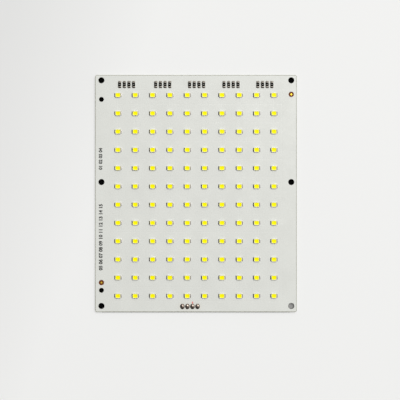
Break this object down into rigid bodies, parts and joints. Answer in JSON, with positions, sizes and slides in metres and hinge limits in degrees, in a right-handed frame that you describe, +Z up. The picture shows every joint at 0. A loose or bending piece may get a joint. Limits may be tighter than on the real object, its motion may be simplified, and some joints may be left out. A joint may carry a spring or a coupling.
{
  "type": "led backlight panel",
  "caption": "White rectangular circuit board with a grid of surface-mount LEDs, chip resistor groups along one edge, soldered leads at the other, and screw holes down both sides",
  "frame": {"origin": "middle of the underside of the board, on the surface that it lies on", "axes": "+X across the board to the right as the picture shows it, +Y along the board towards the resistors, +Z up, out of the LED side"},
  "size_m": [0.12, 0.141, 0.0024],
  "materials": {
    "white_solder_mask": "white epoxy solder mask on glass-epoxy laminate, satin gloss",
    "led_encapsulant": "yellow phosphor silicone, slightly dished",
    "resistor_overcoat": "black glass overcoat between tinned end caps",
    "tinned_copper": "tinned copper",
    "solder": "bright solder, reflowed smooth",
    "led_housing": "white polyamide, moulded round the LED's metal frame",
    "gilt_copper": "copper foil with gold over nickel",
    "marking_ink": "screen-printed epoxy marking ink"
  },
  "bodies": {
    "root": {"circuit_board": "white_solder_mask", "resistor_1_1": "resistor_overcoat", "resistor_1_2": "resistor_overcoat", "resistor_1_3": "resistor_overcoat", "resistor_1_4": "resistor_overcoat", "resistor_2_1": "resistor_overcoat", "resistor_2_2": "resistor_overcoat", "resistor_2_3": "resistor_overcoat", "resistor_2_4": "resistor_overcoat", "resistor_3_1": "resistor_overcoat", "resistor_3_2": "resistor_overcoat", "resistor_3_3": "resistor_overcoat", "resistor_3_4": "resistor_overcoat", "resistor_4_1": "resistor_overcoat", "resistor_4_2": "resistor_overcoat", "resistor_4_3": "resistor_overcoat", "resistor_4_4": "resistor_overcoat", "resistor_5_1": "resistor_overcoat", "resistor_5_2": "resistor_overcoat", "resistor_5_3": "resistor_overcoat", "resistor_5_4": "resistor_overcoat", "lead_end_1": "tinned_copper", "lead_end_2": "tinned_copper", "lead_end_3": "tinned_copper", "lead_end_4": "tinned_copper", "solder_joint_1": "solder", "solder_joint_2": "solder", "solder_joint_3": "solder", "solder_joint_4": "solder"}
  },
  "joints": []
}
